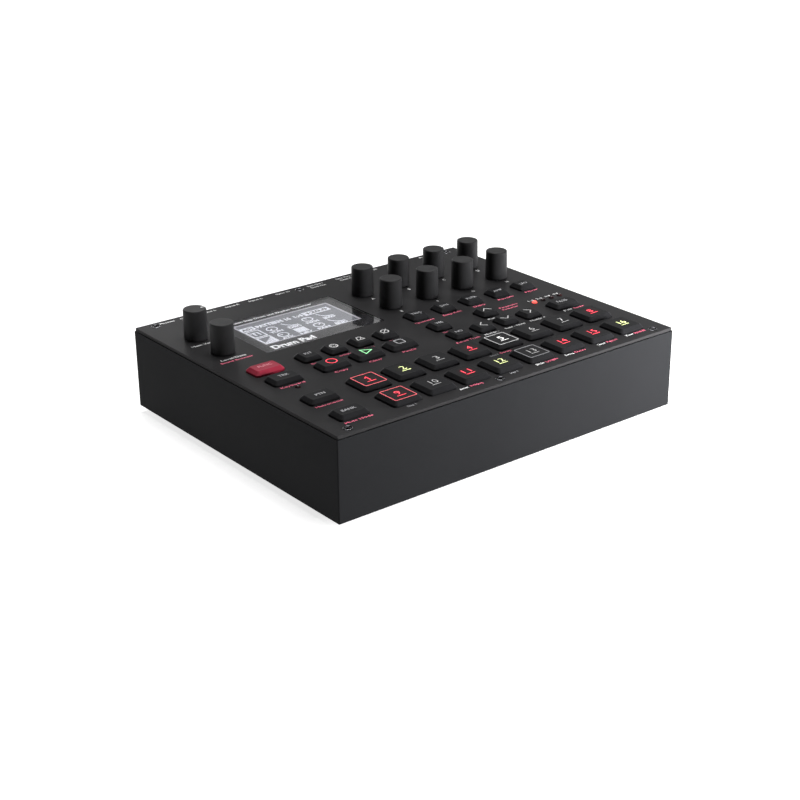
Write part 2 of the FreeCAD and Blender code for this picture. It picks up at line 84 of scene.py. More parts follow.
class Shader:
    """A principled material whose colour, roughness and bump come from nodes."""

    def __init__(self, name, metallic=0.0, specular=0.5):
        self.mat = bpy.data.materials.new(name)
        self.mat.use_nodes = True
        self.tree = self.mat.node_tree
        self.main = self.tree.nodes["Principled BSDF"]
        self.main.inputs["Metallic"].default_value = metallic
        self.main.inputs["Specular IOR Level"].default_value = specular
        self.coords = self.node("ShaderNodeTexCoord")

    def node(self, kind, **settings):
        """Adds a shader node with the given attributes."""
        made = self.tree.nodes.new(kind)
        for key, value in settings.items():
            setattr(made, key, value)
        return made

    def link(self, source, target):
        self.tree.links.new(source, target)

    def noise(self, scale, detail=4.0, rough=0.55, stretch=(1, 1, 1)):
        """Noise in object space; scale is in cells per metre."""
        place = self.node("ShaderNodeMapping")
        place.inputs["Scale"].default_value = stretch
        self.link(self.coords.outputs["Object"], place.inputs["Vector"])
        made = self.node("ShaderNodeTexNoise")
        made.inputs["Scale"].default_value = scale
        made.inputs["Detail"].default_value = detail
        made.inputs["Roughness"].default_value = rough
        self.link(place.outputs["Vector"], made.inputs["Vector"])
        return made.outputs["Fac"]

    def ramp(self, source, low, high, start=0.3, end=0.7):
        """Maps start..end of the source to low..high, clamped at both ends."""
        made = self.node("ShaderNodeMapRange")
        made.inputs["From Min"].default_value = start
        made.inputs["From Max"].default_value = end
        made.inputs["To Min"].default_value = low
        made.inputs["To Max"].default_value = high
        self.link(source, made.inputs["Value"])
        return made.outputs["Result"]

    def mix(self, fac, first, second):
        """Blends two colours, each a tuple or a socket."""
        made = self.node("ShaderNodeMix", data_type="RGBA")
        self.link(fac, made.inputs["Factor"])
        for value, socket in ((first, made.inputs["A"]), (second, made.inputs["B"])):
            if isinstance(value, bpy.types.NodeSocket):
                self.link(value, socket)
            else:
                socket.default_value = (*value, 1.0)
        return made.outputs["Result"]

    def colour(self, socket):
        self.link(socket, self.main.inputs["Base Color"])

    def roughness(self, socket):
        self.link(socket, self.main.inputs["Roughness"])

    def bump(self, layers):
        """Stacks bump layers: (height socket, strength, depth in mm)."""
        last = None
        for height, strength, depth in layers:
            made = self.node("ShaderNodeBump")
            made.inputs["Strength"].default_value = strength
            made.inputs["Distance"].default_value = depth * MM
            self.link(height, made.inputs["Height"])
            if last is not None:
                self.link(last, made.inputs["Normal"])
            last = made.outputs["Normal"]
        self.link(last, self.main.inputs["Normal"])

    def glow(self, tone, strength):
        """Makes the surface give off its own tone."""
        self.link(tone, self.main.inputs["Emission Color"])
        self.main.inputs["Emission Strength"].default_value = strength

    def edge_wear_and_highlight(self, base, worn_and_lit_tone):
        """Mixes in a lighter tone along convex edges: rubbed plastic, and a painted highlight on
        the bevels.
        """
        geometry = self.node("ShaderNodeNewGeometry")
        fac = self.ramp(geometry.outputs["Pointiness"], 0.0, 0.6, 0.53, 0.60)
        return self.mix(fac, base, worn_and_lit_tone)


def shade(colour, factor):
    """The same colour, lighter or darker."""
    return tuple(min(1.0, c * factor) for c in colour)


def powder_coat(name, colour, rough, specular):
    """Sprayed powder coat: mottled tone, orange peel and fine grit."""
    s = Shader(name, specular=specular)
    cloud = s.noise(14.0, 5.0)
    grit = s.noise(2600.0, 3.0)
    peel = s.noise(700.0, 2.0)
    tone = s.mix(s.ramp(cloud, 0.0, 1.0), shade(colour, 0.90), shade(colour, 1.10))
    tone = s.mix(s.ramp(grit, 0.0, 0.35), tone, shade(colour, 1.5))
    s.colour(tone)
    s.roughness(s.ramp(cloud, rough - 0.04, rough + 0.05))
    s.bump([(peel, 0.25, 0.03), (grit, 0.30, 0.012)])
    return s.mat


def moulded_plastic(name, colour, rough, specular=0.5, wear_and_highlight=1.35):
    """Fine-grained moulded plastic, lighter on convex edges: polish from rubbing, and a painted
    highlight.
    """
    s = Shader(name, specular=specular)
    cloud = s.noise(90.0, 4.0)
    grain = s.noise(4200.0, 2.0)
    tone = s.mix(s.ramp(cloud, 0.0, 1.0), shade(colour, 0.88), shade(colour, 1.12))
    # lighter convex edges: part rubbing, part painted highlight
    s.colour(s.edge_wear_and_highlight(tone, shade(colour, wear_and_highlight)))
    s.roughness(s.ramp(cloud, rough - 0.05, rough + 0.05))
    s.bump([(grain, 0.25, 0.010)])
    return s.mat


def soft_touch(name, colour, specular):
    """Soft-touch knob coating: matt, with faint turning marks; convex edges are lighter, partly
    rubbed and partly a painted highlight.
    """
    s = Shader(name, specular=specular)
    cloud = s.noise(160.0, 4.0)
    grain = s.noise(5200.0, 2.0)
    rings = s.noise(900.0, 2.0, 0.5, (0.05, 0.05, 1.0))
    tone = s.mix(s.ramp(cloud, 0.0, 1.0), shade(colour, 0.90), shade(colour, 1.10))
    s.colour(s.edge_wear_and_highlight(tone, shade(colour, 1.4)))
    s.roughness(s.ramp(cloud, 0.44, 0.54))
    s.bump([(rings, 0.06, 0.01), (grain, 0.25, 0.010)])
    return s.mat


def worked_metal(name, colour, rough):
    """Machined metal: cloudy tone with darker spots."""
    s = Shader(name, metallic=1.0)
    streak = s.noise(260.0, 4.0, 0.6)
    spots = s.noise(500.0, 3.0)
    tone = s.mix(s.ramp(streak, 0.0, 1.0), shade(colour, 0.8), shade(colour, 1.15))
    s.colour(s.mix(s.ramp(spots, 0.0, 0.3, 0.55, 0.75), tone, shade(colour, 0.55)))
    s.roughness(s.ramp(streak, rough - 0.06, rough + 0.10))
    s.bump([(streak, 0.15, 0.01)])
    return s.mat


def rubber(name, colour):
    """Matt rubber with open pores."""
    s = Shader(name, specular=0.3)
    cloud = s.noise(120.0, 5.0)
    pores = s.noise(1800.0, 3.0)
    s.colour(s.mix(s.ramp(cloud, 0.0, 1.0), shade(colour, 0.8), shade(colour, 1.5)))
    s.roughness(s.ramp(pores, 0.72, 0.90))
    s.bump([(pores, 0.5, 0.03)])
    return s.mat


def solder_resist(name, top=None):
    """Green board lacquer with faint copper tracks; parts above `top` are pale."""
    s = Shader(name, specular=0.5)
    tracks = s.node("ShaderNodeTexBrick")
    tracks.inputs["Scale"].default_value = 160.0
    tracks.inputs["Mortar Size"].default_value = 0.05
    s.link(s.coords.outputs["Object"], tracks.inputs["Vector"])
    cloud = s.noise(60.0, 3.0)
    tone = s.mix(s.ramp(cloud, 0.0, 1.0), (0.010, 0.060, 0.030), (0.016, 0.090, 0.045))
    tone = s.mix(s.ramp(tracks.outputs["Fac"], 0.0, 0.5, 0.0, 1.0), tone, (0.05, 0.17, 0.07))
    if top is not None:
        split = s.node("ShaderNodeSeparateXYZ")
        s.link(s.coords.outputs["Object"], split.inputs["Vector"])
        above = s.ramp(split.outputs["Z"], 0.0, 1.0, top * MM, (top + 0.05) * MM)
        pale = s.mix(s.ramp(cloud, 0.0, 1.0), (0.42, 0.42, 0.40), (0.52, 0.51, 0.48))
        tone = s.mix(above, tone, pale)
    s.colour(tone)
    s.roughness(s.ramp(cloud, 0.25, 0.38))
    s.bump([(tracks.outputs["Fac"], 0.2, 0.03)])
    return s.mat


def window_glass(name):
    """Tinted clear acrylic with hairline cleaning marks."""
    s = Shader(name, specular=0.5)
    s.main.inputs["IOR"].default_value = ACRYLIC_IOR
    smear = s.noise(35.0, 4.0)
    hair = s.noise(900.0, 2.0, 0.5, (1.0, 0.06, 1.0))
    tint = s.mix(s.ramp(smear, 0.0, 1.0), (0.80, 0.80, 0.82), (0.90, 0.90, 0.92))
    edge = window_edge(s)
    s.colour(s.mix(edge, tint, (0.006, 0.006, 0.007)))
    s.link(s.ramp(edge, 1.0, 0.0, 0.0, 1.0), s.main.inputs["Transmission Weight"])
    dull = s.node("ShaderNodeMath", operation="ADD")
    s.link(s.ramp(smear, 0.015, 0.05), dull.inputs[0])
    s.link(s.ramp(edge, 0.0, 0.5, 0.0, 1.0), dull.inputs[1])
    s.roughness(dull.outputs["Value"])
    s.bump([(hair, 0.02, 0.002)])
    return s.mat


def window_edge(s):
    """Mask that is 1 on the blackened edge of the window and 0 inside it."""
    split = s.node("ShaderNodeSeparateXYZ")
    s.link(s.coords.outputs["Object"], split.inputs["Vector"])
    low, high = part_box("display_window")
    widest = s.node("ShaderNodeMath", operation="MAXIMUM")
    for i, axis in enumerate("XY"):
        from_middle = s.node("ShaderNodeMath", operation="SUBTRACT")
        s.link(split.outputs[axis], from_middle.inputs[0])
        from_middle.inputs[1].default_value = (low[i] + high[i]) / 2
        away = s.node("ShaderNodeMath", operation="ABSOLUTE")
        s.link(from_middle.outputs["Value"], away.inputs[0])
        half = (high[i] - low[i]) / 2
        start = half - WINDOW_EDGE * MM
        rim = s.ramp(away.outputs["Value"], 0.0, 1.0, start - 0.1 * MM, start)
        s.link(rim, widest.inputs[i])
    return widest.outputs["Value"]


def screen_glass(name):
    """Pale grey display glass with a faint pixel grid; its even grey glow is the backlight and
    also painted reflection of the bright surroundings.
    """
    s = Shader(name, specular=0.3)
    grid = s.node("ShaderNodeTexBrick", offset=0.0, squash=1.0)
    grid.inputs["Scale"].default_value = 1.0 / (2 * DOT_PITCH * MM)
    grid.inputs["Mortar Size"].default_value = 0.04
    s.link(s.coords.outputs["Object"], grid.inputs["Vector"])
    cloud = s.noise(50.0, 3.0)
    tone = s.mix(s.ramp(cloud, 0.0, 1.0), (0.055, 0.057, 0.062), (0.070, 0.072, 0.078))
    tone = s.mix(s.ramp(grid.outputs["Fac"], 0.0, 0.5, 0.0, 1.0), tone, (0.045, 0.046, 0.050))
    s.colour(tone)
    # grey glow: backlight plus painted reflection of the bright surroundings
    s.glow(tone, SCREEN_GLOW_AND_REFLECTION)
    s.roughness(s.ramp(cloud, 0.12, 0.20))
    return s.mat


def ink(name, colour, glow=0.0):
    """Screen-printed ink or a lit marking, with a slightly uneven coat; on ink that no lamp
    lights, the glow is painted light.
    """
    s = Shader(name, specular=0.3)
    cloud = s.noise(900.0, 3.0)
    tone = s.mix(s.ramp(cloud, 0.0, 1.0), shade(colour, 0.86), shade(colour, 1.08))
    s.colour(tone)
    s.roughness(s.ramp(cloud, 0.45, 0.65))
    if glow:
        s.glow(tone, glow)
    s.bump([(cloud, 0.1, 0.005)])
    return s.mat


def lit_key(name, colour, glow, node):
    """Key plastic through which the lamp under the key shines a little."""
    s = Shader(name, specular=KEY_SPECULAR)
    cloud = s.noise(90.0, 4.0)
    grain = s.noise(4200.0, 2.0)
    tone = s.mix(s.ramp(cloud, 0.0, 1.0), shade(KEY_COLOUR, 0.88), shade(KEY_COLOUR, 1.12))
    # lighter convex edges: part rubbing, part painted highlight on the bevels
    s.colour(s.edge_wear_and_highlight(tone, shade(KEY_COLOUR, 1.5)))
    s.roughness(s.ramp(cloud, 0.42, 0.52))
    s.bump([(grain, 0.25, 0.010)])
    away = s.node("ShaderNodeVectorMath", operation="DISTANCE")
    s.link(s.coords.outputs["Object"], away.inputs[0])
    away.inputs[1].default_value = Vector(top_centre(node)) * MM
    fade = s.ramp(away.outputs["Value"], glow, 0.0, 1.0 * MM, KEY_GLOW_REACH * MM)
    s.main.inputs["Emission Color"].default_value = (*colour, 1.0)
    s.link(fade, s.main.inputs["Emission Strength"])
    return s.mat


def lamp_lens(name, colour, glow):
    """Polished tinted lens, lit from inside when it glows."""
    s = Shader(name, specular=0.25)
    cloud = s.noise(1500.0, 2.0)
    tone = s.mix(s.ramp(cloud, 0.0, 1.0), shade(colour, 0.85), shade(colour, 1.1))
    s.colour(tone)
    s.roughness(s.ramp(cloud, 0.15, 0.28))
    if glow:
        s.glow(tone, glow)
    return s.mat


CASE_PAINT = powder_coat("case_powder_coat", (0.0090, 0.0092, 0.0099), 0.50, 0.02)
PANEL_PAINT = powder_coat("panel_powder_coat", (0.0158, 0.0155, 0.0161), 0.42, 0.03)
KEY_PLASTIC = moulded_plastic("key_plastic_dark", KEY_COLOUR, 0.46, KEY_SPECULAR)
FUNC_PLASTIC = moulded_plastic("key_plastic_red", (0.185, 0.016, 0.030), 0.46, 0.08, wear_and_highlight=1.2)
KNOB_COAT = soft_touch("knob_soft_touch", (0.0110, 0.0110, 0.0115), 0.12)
SOCKET_PLASTIC = moulded_plastic("socket_plastic", (0.016, 0.016, 0.017), 0.40)
BUTTON_PLASTIC = moulded_plastic("button_plastic", (0.022, 0.022, 0.023), 0.42)
FOOT_RUBBER = rubber("foot_rubber", (0.012, 0.012, 0.012))
SCREW_STEEL = worked_metal("screw_black_steel", (0.05, 0.05, 0.053), 0.24)
RIM_STEEL = worked_metal("screw_rim_steel", (0.14, 0.14, 0.15), 0.16)
WINDOW = window_glass("window_acrylic")
SCREEN = screen_glass("screen_glass")
BOARD = solder_resist("board_resist")
FITTED_BOARD = solder_resist("fitted_board_resist", LED_BOTTOM)

INK_WHITE = ink("ink_white", (0.62, 0.62, 0.62))
INK_RED = ink("ink_red", (0.66, 0.115, 0.19))
INK_DIM = ink("ink_dim", (0.20, 0.20, 0.21))
# the window words and the unlit key marks glow faintly: painted light that brightens the ink
INK_WINDOW = ink("ink_window", (0.88, 0.88, 0.89), 0.60)
MARK_WHITE = ink("mark_white", (0.42, 0.42, 0.42), 0.12)
MARK_DIM = ink("mark_dim", (0.30, 0.30, 0.30), 0.10)
MARK_WORD = ink("mark_word", (0.30, 0.30, 0.31), 0.12)
MARK_FUNC = ink("mark_func", (0.46, 0.20, 0.23), 0.08)
LIT_WHITE = ink("lit_white", (0.75, 0.75, 0.74), 0.75)
LIT_RED = ink("lit_red", (0.85, 0.045, 0.075), 1.0)
LIT_FRAME_RED = ink("lit_frame_red", (0.58, 0.085, 0.10), 0.6)
LIT_GREEN = ink("lit_green", (0.26, 0.72, 0.33), 0.75)
LIT_LIME = ink("lit_lime", (0.72, 0.80, 0.34), 1.0)
SCREEN_WHITE = ink("screen_pixels", (0.78, 0.80, 0.84), 0.6)
# glowing grey ink for the painted highlight along the edge of the screen glass
SCREEN_EDGE_HIGHLIGHT = ink("screen_edge_painted_highlight", (0.34, 0.34, 0.36), 1.0)
SCREEN_DARK = ink("screen_dark", (0.080, 0.080, 0.085), 1.0)
MASK_BLACK = ink("window_mask_black", (0.008, 0.008, 0.009))


# ---- thin printed shapes ------------------------------------------------
CAPITAL_HEIGHT = 0.70  # of the built-in font, per unit of size


class Print:
    """Collects thin flat shapes, in millimetres, on one plane.

    Each shape reaches from `sink` below the plane to `rise` above it.
    """

    def __init__(self, name, material, body, plane, rise=0.03, sink=0.02):
        self.name = name
        self.material = material
        self.body = body
        self.plane = plane
        self.rise = rise
        self.sink = sink
        self.mesh = bmesh.new()

    def point(self, u, v, w):
        """A point on the plane, raised by w, in metres."""
        return (self.plane @ Vector((u, v, w))) * MM

    def polygon(self, points):
        """One flat shape with straight sides."""
        low = [self.mesh.verts.new(self.point(u, v, -self.sink)) for u, v in points]
        high = [self.mesh.verts.new(self.point(u, v, self.rise)) for u, v in points]
        self.mesh.faces.new(high)
        self.mesh.faces.new(low[::-1])
        count = len(points)
        for i in range(count):
            k = (i + 1) % count
            self.mesh.faces.new((low[i], low[k], high[k], high[i]))

    def bar(self, u0, v0, u1, v1):
        """A rectangle between two corners."""
        self.polygon([(u0, v0), (u1, v0), (u1, v1), (u0, v1)])

    def stroke(self, start, end, width):
        """A straight line of the given width between two points."""
        along = Vector((end[0] - start[0], end[1] - start[1]))
        along.normalize()
        side = Vector((-along.y, along.x)) * width / 2
        ends = [Vector(start) - along * width / 3, Vector(end) + along * width / 3]
        corners = [ends[0] - side, ends[1] - side, ends[1] + side, ends[0] + side]
        self.polygon([(c.x, c.y) for c in corners])

    def lines(self, points, width):
        """Strokes from each point to the next."""
        for start, end in zip(points, points[1:]):
            self.stroke(start, end, width)

    def loop(self, outer, inner):
        """A closed band between two outlines with the same number of points."""
        count = len(outer)
        rings = []
        for outline, w in ((outer, self.rise), (inner, self.rise),
                           (inner, -self.sink), (outer, -self.sink)):
            rings.append([self.mesh.verts.new(self.point(u, v, w)) for u, v in outline])
        for i in range(count):
            k = (i + 1) % count
            for a, b in ((0, 1), (1, 2), (2, 3), (3, 0)):
                self.mesh.faces.new((rings[a][i], rings[a][k], rings[b][k], rings[b][i]))

    def ring(self, u, v, radius, width, count=32):
        self.loop(circle(u, v, radius, count), circle(u, v, radius - width, count))

    def frame(self, u, v, size, width, corner):
        """A square outline with rounded corners."""
        hole = size - 2 * width
        self.loop(rounded(u, v, size, size, corner),
                  rounded(u, v, hole, hole, max(corner - width, 0.2)))

    def text(self, words, centre, height, width=None, bold=0.0, align="CENTER"):
        """Words with the given capital height; width squeezes them to fit."""
        curve = bpy.data.curves.new("words", "FONT")
        curve.body = words
        curve.size = height / CAPITAL_HEIGHT
        curve.offset = bold
        curve.resolution_u = 3
        curve.align_x = align
        holder = bpy.data.objects.new("words", curve)
        bpy.context.scene.collection.objects.link(holder)
        graph = bpy.context.evaluated_depsgraph_get()
        flat = bpy.data.meshes.new_from_object(holder.evaluated_get(graph))
        bpy.data.objects.remove(holder)
        bpy.data.curves.remove(curve)
        shape = bmesh.new()
        shape.from_mesh(flat)
        bpy.data.meshes.remove(flat)
        bmesh.ops.remove_doubles(shape, verts=shape.verts, dist=1e-5)
        spread = [v.co.x for v in shape.verts]
        squeeze = 1.0 if width is None else width / (max(spread) - min(spread))
        top = bmesh.ops.extrude_face_region(shape, geom=shape.faces[:])
        raised = {v for v in top["geom"] if isinstance(v, bmesh.types.BMVert)}
        for v in shape.verts:
            w = self.rise if v in raised else -self.sink
            v.co = self.point(centre[0] + v.co.x * squeeze,
                              centre[1] + v.co.y - height / 2, w)
        extra = bpy.data.meshes.new("words")
        shape.to_mesh(extra)
        shape.free()
        self.mesh.from_mesh(extra)
        bpy.data.meshes.remove(extra)

    def build(self):
        """Makes the finished object from all shapes so far."""
        finish_mesh(self.name, self.mesh, self.material, self.body)


def circle(u, v, radius, count):
    """Points round a circle."""
    return [(u + radius * math.cos(2 * math.pi * i / count),
             v + radius * math.sin(2 * math.pi * i / count)) for i in range(count)]


def rounded(u, v, width, depth, corner):
    """Outline of a rectangle with rounded corners."""
    steps = 4
    points = []
    for turn, (su, sv) in enumerate(((1, 1), (-1, 1), (-1, -1), (1, -1))):
        for i in range(steps + 1):
            angle = math.radians(90 * turn + 90 * i / steps)
            points.append((u + su * (width / 2 - corner) + corner * math.cos(angle),
                           v + sv * (depth / 2 - corner) + corner * math.sin(angle)))
    return points


def finish_mesh(name, mesh, material, body, smooth=False):
    """Turns a bmesh into an object that rides on a body."""
    bmesh.ops.recalc_face_normals(mesh, faces=mesh.faces)
    data = bpy.data.meshes.new(name)
    mesh.to_mesh(data)
    mesh.free()
    data.materials.append(material)
    if smooth:
        data.polygons.foreach_set("use_smooth", [True] * len(data.polygons))
    made = bpy.data.objects.new(name, data)
    bpy.context.scene.collection.objects.link(made)
    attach(made, body)


def plane_up(x, y, z):
    """Level plane with its origin at a point."""
    return Matrix.Translation((x, y, z))


def plane_rear(x, z):
    """Plane on the rear wall, read from behind: u runs towards -X."""
    return Matrix(((-1, 0, 0, x), (0, 0, 1, REAR_Y), (0, 1, 0, z), (0, 0, 0, 1)))


# ---- CAD nodes get their real materials ---------------------------------
def dress(node, material):
    """Puts a material on every slot of a CAD node."""
    for slot in NODES[node].material_slots:
        slot.material = material


for node_name in NODES:
    if node_name.startswith("key_"):
        dress(node_name, KEY_PLASTIC)
    elif node_name.startswith("knob_"):
        dress(node_name, KNOB_COAT)
dress("bottom_case", CASE_PAINT)
dress("top_panel", PANEL_PAINT)
dress("rubber_feet", FOOT_RUBBER)
dress("display_window", WINDOW)
dress("display_module", SCREEN)
dress("control_board", FITTED_BOARD)
dress("socket_board", BOARD)
dress("rear_sockets", SOCKET_PLASTIC)
dress("power_inlet_socket", SOCKET_PLASTIC)
dress("fasteners", SCREW_STEEL)
dress("power_button", BUTTON_PLASTIC)
dress("key_func", FUNC_PLASTIC)


# ---- key markings -------------------------------------------------------
# ink of the mark, colour and strength of the glow through the key round it
RED = (LIT_RED, (0.9, 0.05, 0.08), 0.030)
LIME = (LIT_LIME, (0.6, 0.65, 0.15), 0.015)
WHITE = (LIT_WHITE, (0.7, 0.7, 0.7), 0.006)
DIM = (MARK_DIM, None, 0.0)
TRIG_LIGHTS = {1: RED, 4: RED, 8: RED, 9: RED, 11: RED, 14: RED, 15: RED,
               2: LIME, 12: LIME, 16: LIME, 5: WHITE}
KEY_FRAME = (12.9, 0.42, 0.9)  # size, line width and corner radius
TRIG_FRAMES = {1: LIT_FRAME_RED, 9: LIT_FRAME_RED, 5: MARK_WHITE, 13: INK_DIM}


def key_print(node, material, suffix="mark"):
    """Shapes on top of a key, with the middle of its top as origin."""
    return Print(node + "_" + suffix, material, node + "_body", plane_up(*top_centre(node)))


def trigger_keys():
    """Underlined numbers, frames round four of them, and the glow of lit keys."""
    for number in range(1, 17):
        node = "key_trig_%02d" % number
        material, colour, glow = TRIG_LIGHTS.get(number, DIM)
        mark = key_print(node, material)
        if number == 1:  # drawn with strokes, with a long flag
            mark.lines([(-0.9, 1.7), (0.3, 2.8), (0.3, -1.2)], 0.5)
        else:
            width = 2.7 if number < 10 else 4.6
            mark.text(str(number), (0.1, 0.8), 4.0, width, -0.06)
        mark.bar(-2.5, -2.75, 2.7, -2.35)
        mark.build()
        if number in TRIG_FRAMES:
            band = key_print(node, TRIG_FRAMES[number], "frame")
            band.frame(0, 0, *KEY_FRAME)
            band.build()
        if colour:
            dress(node, lit_key(node + "_plastic", colour, glow, node))


def word_keys():
    """Keys marked with a word: the word and the place of its middle."""
    words = {"func": ("FUNC", 0.2, 0.8), "track": ("TRK", 0.2, 0.7), "pattern": ("PTN", 0.3, 0.1),
             "bank": ("BANK", -0.3, 0.1), "setup_1": ("KIT", 0.4, 0.7),
             "page_1": ("TRIG", 0.0, -0.4), "page_2": ("SYN", 0.1, -0.4),
             "page_3": ("FLTR", 0.0, -0.4), "page_4": ("AMP", 0.0, -0.6),
             "page_5": ("LFO", 0.1, -0.5), "yes": ("YES", 0.3, 0.3), "no": ("NO", 0.1, 0.2),
             "page_step": ("PAGE", -0.6, 0.0)}
    for short, (word, u, v) in words.items():
        node = "key_" + short
        mark = key_print(node, MARK_FUNC if short == "func" else MARK_WORD)
        mark.text(word, (u, v), 2.1)
        mark.build()


def symbol_keys():
    """Record, play, stop, arrows and three setup symbols."""
    record = key_print("key_record", LIT_RED)
    record.ring(0.1, 0.7, 2.9, 0.45)
    record.build()
    play = key_print("key_play", LIT_GREEN)
    play.loop([(-2.2, 3.6), (-2.2, -2.8), (3.8, 0.4)],
              [(-1.75, 2.85), (-1.75, -2.05), (2.8, 0.4)])
    play.build()
    stop = key_print("key_stop", MARK_WORD)
    stop.frame(0, 0.4, 5.2, 0.5, 1.2)
    stop.build()
    chevron = [(-2.6, -1.2), (0.0, 1.6), (2.6, -1.2)]
    for node, turn in (("key_up", 0), ("key_left", 90), ("key_down", 180), ("key_right", 270)):
        mark = key_print(node, MARK_WHITE)
        c, s = math.cos(math.radians(turn)), math.sin(math.radians(turn))
        mark.lines([(u * c - v * s, u * s + v * c) for u, v in chevron], 0.45)
        mark.build()
    dial = key_print("key_setup_2", MARK_WHITE)
    dial.ring(0, 0.6, 2.3, 0.5)
    for i in range(6):
        a = math.radians(60 * i)
        dial.stroke((0.9 * math.cos(a), 0.6 + 0.9 * math.sin(a)),
                    (1.6 * math.cos(a), 0.6 + 1.6 * math.sin(a)), 0.35)
    dial.build()
    beat = key_print("key_setup_3", MARK_WHITE)
    beat.lines([(-2.2, -1.1), (-0.9, 2.4), (0.9, 2.4), (2.2, -1.1), (-2.2, -1.1)], 0.4)
    beat.stroke((0.0, -0.6), (1.7, 2.0), 0.4)
    beat.build()
    clock = key_print("key_setup_4", MARK_WHITE)
    clock.ring(0, 0.6, 2.3, 0.5)
    clock.stroke((-2.3, -1.7), (2.3, 2.9), 0.4)
    clock.build()


trigger_keys()
word_keys()
symbol_keys()


# ---- panel legends ------------------------------------------------------
# places on the panel, from the middle of the case
PAGE_LAMP_XS = [78.2 + 6.1 * i for i in range(4)]
PAGE_LAMP_Y = -14.6
TRACK_LAMP = (-87.8, -30.2)
REAR_WORDS_Y = 84.2
LEGEND_DROP = 0.95


def under(node):
    """Where a legend sits under a key: x centre and y on the panel."""
    low, high = node_box(node)
    return (low.x + high.x) / 2, low.y - LEGEND_DROP


def before(node, gap):
    """Where a legend sits in front of a knob."""
    low, high = node_box(node)
    return (low.x + high.x) / 2, low.y - gap


def panel_legends():
    """Words on the panel, in white, red and grey ink."""
    plane = plane_up(0, 0, PANEL_Z)
    white = Print("legends_white", INK_WHITE, CASE, plane)
    red = Print("legends_red", INK_RED, CASE, plane)
    dim = Print("legends_dim", INK_DIM, CASE, plane)
    size = 1.55

    def pair(node, first, second, ink_first=None, shift=0.0):
        """Two words side by side under a key."""
        x, y = under(node)
        (ink_first or white).text(first, (x + shift - 0.5, y), size, 5.4, 0.02, "RIGHT")
        red.text(second, (x + shift + 0.5, y), size, 7.4, 0.02, "LEFT")

    single_red = {"key_track": ("Keyboard", 13.6), "key_pattern": ("Metronome", 15.2),
                  "key_bank": ("Mute Mode", 15.6), "key_record": ("Copy", 7.8),
                  "key_play": ("Clear", 8.0), "key_stop": ("Paste", 8.2),
                  "key_setup_1": ("Save", 6.4), "key_setup_2": ("Settings", 9.6),
                  "key_setup_3": ("Click", 6.6), "key_setup_4": ("Tap", 5.0),
                  "key_page_1": ("Quantize", 12.6), "key_page_2": ("Step Edit", 12.6),
                  "key_page_3": ("Delay", 8.2), "key_page_4": ("Reverb", 11.0),
                  "key_page_5": ("Mixer", 9.6), "key_yes": ("Save", 6.6),
                  "key_no": ("Reload Track", 15.4)}
    for node, (words, width) in single_red.items():
        red.text(words, under(node), size, width, 0.02)
    single_white = {"key_left": ("Nudge -", 9.6), "key_down": ("Rate - Note", 13.6),
                    "key_right": ("Nudge +", 10.4), "key_up": ("Rate +", 9.4)}
    for node, (words, width) in single_white.items():
        white.text(words, under(node), size, width, 0.02)
    pair("key_page_step", "Fill", "Scale", shift=0.6)
    pair("key_trig_04", "Voice 4", "Swap", dim, shift=10.5)
    pair("key_trig_11", "Accent", "Mix", shift=-7.4)
    pair("key_trig_13", "Slide", "Length", shift=-0.6)
    pair("key_trig_14", "Swing", "Chance", shift=-2.0)
    pair("key_trig_15", "Gate", "Repeat", shift=-0.6)
    pair("key_trig_16", "Tune", "Random", shift=-1.4)
    dim.text("Step 1", under("key_trig_09"), size, 5.2, 0.02)
    dim.text("Step 4", under("key_trig_12"), size, 5.2, 0.02)
    corner = node_box("key_up")[1]
    red.text("Parameter", (corner.x + 11.4, corner.y - 4.4), size, 13.2, 0.02)
    red.text("Randomize", (corner.x + 9.8, corner.y - 7.4), size, 10.4, 0.02)

    for letter in "abcdefgh":
        white.text(letter.upper(), before("knob_" + letter, 3.1), 1.9, None, 0.03)
    white.text("Main Volume", before("knob_main_volume", 3.1), 1.7, 17.0, 0.02)
    white.text("Level/Data", before("knob_level_data", 3.0), 1.7, 14.4, 0.02)
    red.text("Sound Browser", before("knob_level_data", 6.3), size, 18.6, 0.02)

    for i, x in enumerate(PAGE_LAMP_XS):
        white.text("%d:4" % (i + 1), (MID_X + x, MID_Y - 11.3), 1.7, 4.0, 0.03)

    edge = MID_Y + REAR_WORDS_Y
    for words, x, width in (("Phones", -90.2, 8.6), ("Out R", -79.0, 6.8), ("Out L", -64.0, 6.8),
                            ("Input R", -50.2, 8.6), ("Input L", -35.4, 8.6),
                            ("Sync In", -17.6, 9.0), ("Sync Out /", 4.0, 10.4),
                            ("Sync Thru /", 24.0, 11.4), ("USB", 45.0, 4.6),
                            ("DC In", 63.0, 6.2), ("Power", 82.0, 7.2)):
        white.text(words, (MID_X + x, edge), 1.6, width, 0.02)
    for x in (4.0, 24.0):
        white.text("Clock Out", (MID_X + x, edge - 3.1), 1.6, 10.0, 0.02)
    for piece in (white, red, dim):
        piece.build()


def rear_legends():
    """Words over the sockets on the rear wall."""
    words = (("Phones", -94.0), ("Out R", -79.0), ("Out L", -64.0), ("Input R", -49.4),
             ("Input L", -34.8), ("Sync In", -16.0), ("Sync Out", 4.0), ("Sync Thru", 24.0),
             ("USB", 45.0), ("DC In", 63.0), ("Power", 82.0))
    white = Print("legends_rear", INK_WHITE, CASE, plane_rear(MID_X, 0))
    height = node_box("rear_sockets")[1].z + 4.0
    for word, x in words:
        white.text(word, (-x, height), 1.9, None, 0.02)
    white.build()


panel_legends()
rear_legends()


